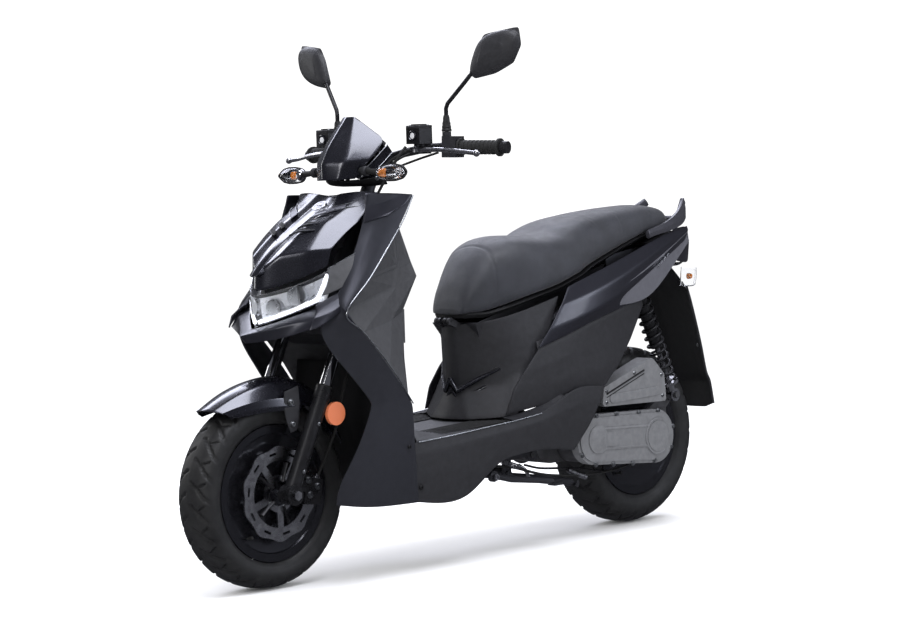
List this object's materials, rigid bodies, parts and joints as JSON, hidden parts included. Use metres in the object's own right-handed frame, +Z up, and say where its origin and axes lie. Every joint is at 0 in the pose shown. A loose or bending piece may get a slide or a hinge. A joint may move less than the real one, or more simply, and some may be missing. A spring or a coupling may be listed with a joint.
{
  "type": "moped scooter",
  "caption": "Step-through moped scooter with upright fork, front disc, swinging engine unit, hinged two-level seat, floorboard and folding stands.",
  "frame": {"origin": "middle of the bounding box, on the ground the tyres stand on", "axes": "+Z up, the scooter faces -Y, +X is the rider's left"},
  "size_m": [0.7964, 1.857, 1.319],
  "materials": {
    "gloss_black": "glossy black body plastic",
    "satin_black": "satin black painted panels",
    "matt_black": "matt grained black plastic",
    "grey_plastic": "dark grey grained plastic",
    "frame_steel": "black painted steel",
    "lens_clear": "clear polycarbonate",
    "reflector_chrome": "vacuum-metallised reflector",
    "tail_red": "red lens",
    "line_rubber": "black rubber sleeve",
    "chrome_steel": "hard chrome",
    "bar_steel": "black coated steel",
    "grip_rubber": "ribbed rubber",
    "lamp_clear": "clear indicator lens",
    "reflector_orange": "orange reflector",
    "cast_black": "gloss black cast aluminium",
    "tyre_rubber": "black tyre rubber",
    "disc_steel": "ground stainless steel",
    "silver_alloy": "satin silver alloy",
    "seat_vinyl": "charcoal grained vinyl",
    "engine_alloy": "dark painted alloy",
    "case_grey": "grey moulded cover",
    "exhaust_black": "heat-proof black",
    "spring_steel": "black coated spring",
    "mirror_shell": "matt black shell"
  },
  "bodies": {
    "frame": {"frame_tubes": "frame_steel", "front_cowl": "gloss_black", "headlight_housing": "reflector_chrome", "headlight_lens": "lens_clear", "beak": "matt_black", "leg_shields": "satin_black", "inner_shield": "grey_plastic", "floorboard": "grey_plastic", "floor_skirts": "matt_black", "centre_cover": "matt_black", "side_panels": "satin_black", "lower_panels": "matt_black", "storage_bucket": "matt_black", "fuel_tank": "frame_steel", "grab_rail": "cast_black", "tail_light": "tail_red", "rear_mudguard": "matt_black", "brake_lines": "line_rubber"},
    "steering": {"steering_stem": "frame_steel", "fork_stanchions": "chrome_steel", "handlebar": "bar_steel", "switchgear": "matt_black", "grip_left": "grip_rubber", "master_cylinders": "cast_black", "visor": "gloss_black", "instrument": "matt_black", "front_indicators": "lamp_clear"},
    "fork_lower": {"fork_legs": "cast_black", "front_fender": "gloss_black", "brake_caliper": "cast_black", "front_axle": "silver_alloy", "fork_reflectors": "reflector_orange"},
    "front_wheel": {"front_rim": "cast_black", "front_tyre": "tyre_rubber", "front_disc": "disc_steel"},
    "lever_left": {"brake_lever_left": "silver_alloy"},
    "lever_right": {"brake_lever_right": "silver_alloy"},
    "throttle": {"throttle_grip": "grip_rubber"},
    "mirror_arm_left": {"mirror_stem_left": "bar_steel"},
    "mirror_arm_right": {"mirror_stem_right": "bar_steel"},
    "mirror_left": {"mirror_head_left": "mirror_shell"},
    "mirror_right": {"mirror_head_right": "mirror_shell"},
    "starter": {"starter_button": "grey_plastic"},
    "horn": {"horn_button": "grey_plastic"},
    "indicator": {"indicator_switch": "grey_plastic"},
    "beam": {"beam_switch": "grey_plastic"},
    "lock": {"ignition_lock": "silver_alloy"},
    "seat": {"seat_base": "matt_black", "seat_cushion": "seat_vinyl"},
    "swing_unit": {"engine_case": "engine_alloy", "cvt_cover": "case_grey", "air_box": "case_grey", "muffler": "exhaust_black"},
    "rear_wheel": {"rear_rim": "cast_black", "rear_tyre": "tyre_rubber"},
    "shock_upper": {"shock_body": "bar_steel", "shock_spring": "spring_steel"},
    "shock_lower": {"shock_rod": "silver_alloy"},
    "centre_stand": {"centre_stand": "frame_steel"},
    "side_stand": {"side_stand": "frame_steel"}
  },
  "joints": [
    {"name": "steer", "type": "hinge", "parent": "frame", "child": "steering", "pos_m": [0, -0.7795, 0], "axis": [0, 0.4384, 0.8988], "range_deg": [-36, 36], "deforming": ["brake_lines"]},
    {"name": "fork_slide", "type": "slide", "parent": "steering", "child": "fork_lower", "axis": [0, 0.4384, 0.8988], "range_m": [0, 0.07], "stiffness_N_per_m": 8000, "springref_m": -0.07, "deforming": ["brake_lines"]},
    {"name": "front_wheel_spin", "type": "hinge", "parent": "fork_lower", "child": "front_wheel", "pos_m": [0, -0.6995, 0.229], "axis": [1, 0, 0], "continuous": true},
    {"name": "brake_lever_left", "type": "hinge", "parent": "steering", "child": "lever_left", "pos_m": [0.156, -0.3055, 1.03], "axis": [0, 0, 1], "range_deg": [0, 13], "stiffness_Nm_per_rad": 1, "springref_deg": -8.59},
    {"name": "brake_lever_right", "type": "hinge", "parent": "steering", "child": "lever_right", "pos_m": [-0.156, -0.3055, 1.03], "axis": [0, 0, -1], "range_deg": [0, 13], "stiffness_Nm_per_rad": 1, "springref_deg": -8.59},
    {"name": "throttle_twist", "type": "hinge", "parent": "steering", "child": "throttle", "pos_m": [-0.225, -0.2225, 1.035], "axis": [-0.9697, 0.2418, -0.035], "range_deg": [0, 75], "stiffness_Nm_per_rad": 0.4, "springref_deg": -17.19},
    {"name": "mirror_swivel_left", "type": "hinge", "parent": "steering", "child": "mirror_arm_left", "pos_m": [0.196, -0.2355, 1.074], "axis": [0, 0, 1], "range_deg": [-25, 25]},
    {"name": "mirror_tilt_left", "type": "hinge", "parent": "mirror_arm_left", "child": "mirror_left", "pos_m": [0.265, -0.2085, 1.215], "axis": [0.9796, 0.2011, 0], "range_deg": [-12, 12]},
    {"name": "mirror_swivel_right", "type": "hinge", "parent": "steering", "child": "mirror_arm_right", "pos_m": [-0.196, -0.2355, 1.074], "axis": [0, 0, 1], "range_deg": [-25, 25]},
    {"name": "mirror_tilt_right", "type": "hinge", "parent": "mirror_arm_right", "child": "mirror_right", "pos_m": [-0.265, -0.2085, 1.215], "axis": [-0.9796, 0.2011, 0], "range_deg": [-12, 12]},
    {"name": "starter_press", "type": "slide", "parent": "steering", "child": "starter", "axis": [-0.2419, -0.9703, 0], "range_m": [0, 0.003], "stiffness_N_per_m": 400, "springref_m": -0.001},
    {"name": "beam_press", "type": "slide", "parent": "steering", "child": "beam", "axis": [-0.2419, -0.9703, 0], "range_m": [0, 0.003], "stiffness_N_per_m": 400, "springref_m": -0.001},
    {"name": "horn_press", "type": "slide", "parent": "steering", "child": "horn", "axis": [0.2419, -0.9703, 0], "range_m": [0, 0.003], "stiffness_N_per_m": 400, "springref_m": -0.001},
    {"name": "indicator_press", "type": "slide", "parent": "steering", "child": "indicator", "axis": [0.2419, -0.9703, 0], "range_m": [0, 0.003], "stiffness_N_per_m": 400, "springref_m": -0.001},
    {"name": "ignition_turn", "type": "hinge", "parent": "frame", "child": "lock", "pos_m": [-0.05, -0.3155, 0.836], "axis": [0, 0.9848, 0.1736], "range_deg": [-45, 60]},
    {"name": "seat_lift", "type": "hinge", "parent": "frame", "child": "seat", "pos_m": [0, -0.0715, 0.596], "axis": [1, 0, 0], "range_deg": [0, 45]},
    {"name": "swing", "type": "hinge", "parent": "frame", "child": "swing_unit", "pos_m": [0, 0.1455, 0.236], "axis": [1, 0, 0], "range_deg": [0, 8], "stiffness_Nm_per_rad": 900, "springref_deg": -24.06, "deforming": ["brake_lines", "shock_spring"]},
    {"name": "rear_wheel_spin", "type": "hinge", "parent": "swing_unit", "child": "rear_wheel", "pos_m": [0, 0.6105, 0.241], "axis": [1, 0, 0], "continuous": true},
    {"name": "shock_pivot", "type": "hinge", "parent": "frame", "child": "shock_upper", "pos_m": [0.103, 0.5645, 0.655], "axis": [1, 0, 0], "range_deg": [-0.5, 3.5]},
    {"name": "shock_slide", "type": "slide", "parent": "shock_upper", "child": "shock_lower", "axis": [0, -0.4165, 0.9092], "range_m": [-0.002, 0.08], "deforming": ["shock_spring"]},
    {"name": "centre_stand_fold", "type": "hinge", "parent": "frame", "child": "centre_stand", "pos_m": [0, 0.0605, 0.196], "axis": [-1, 0, 0], "range_deg": [0, 76], "stiffness_Nm_per_rad": 4, "springref_deg": -68.75},
    {"name": "side_stand_fold", "type": "hinge", "parent": "frame", "child": "side_stand", "pos_m": [0.15, -0.0635, 0.206], "axis": [-1, 0, 0], "range_deg": [0, 95], "stiffness_Nm_per_rad": 1.5, "springref_deg": -68.75}
  ],
  "couplings": [
    {"joint": "shock_pivot", "follows": "swing", "ratio": 0.3625},
    {"joint": "shock_slide", "follows": "swing", "m_per_rad": 0.56}
  ]
}
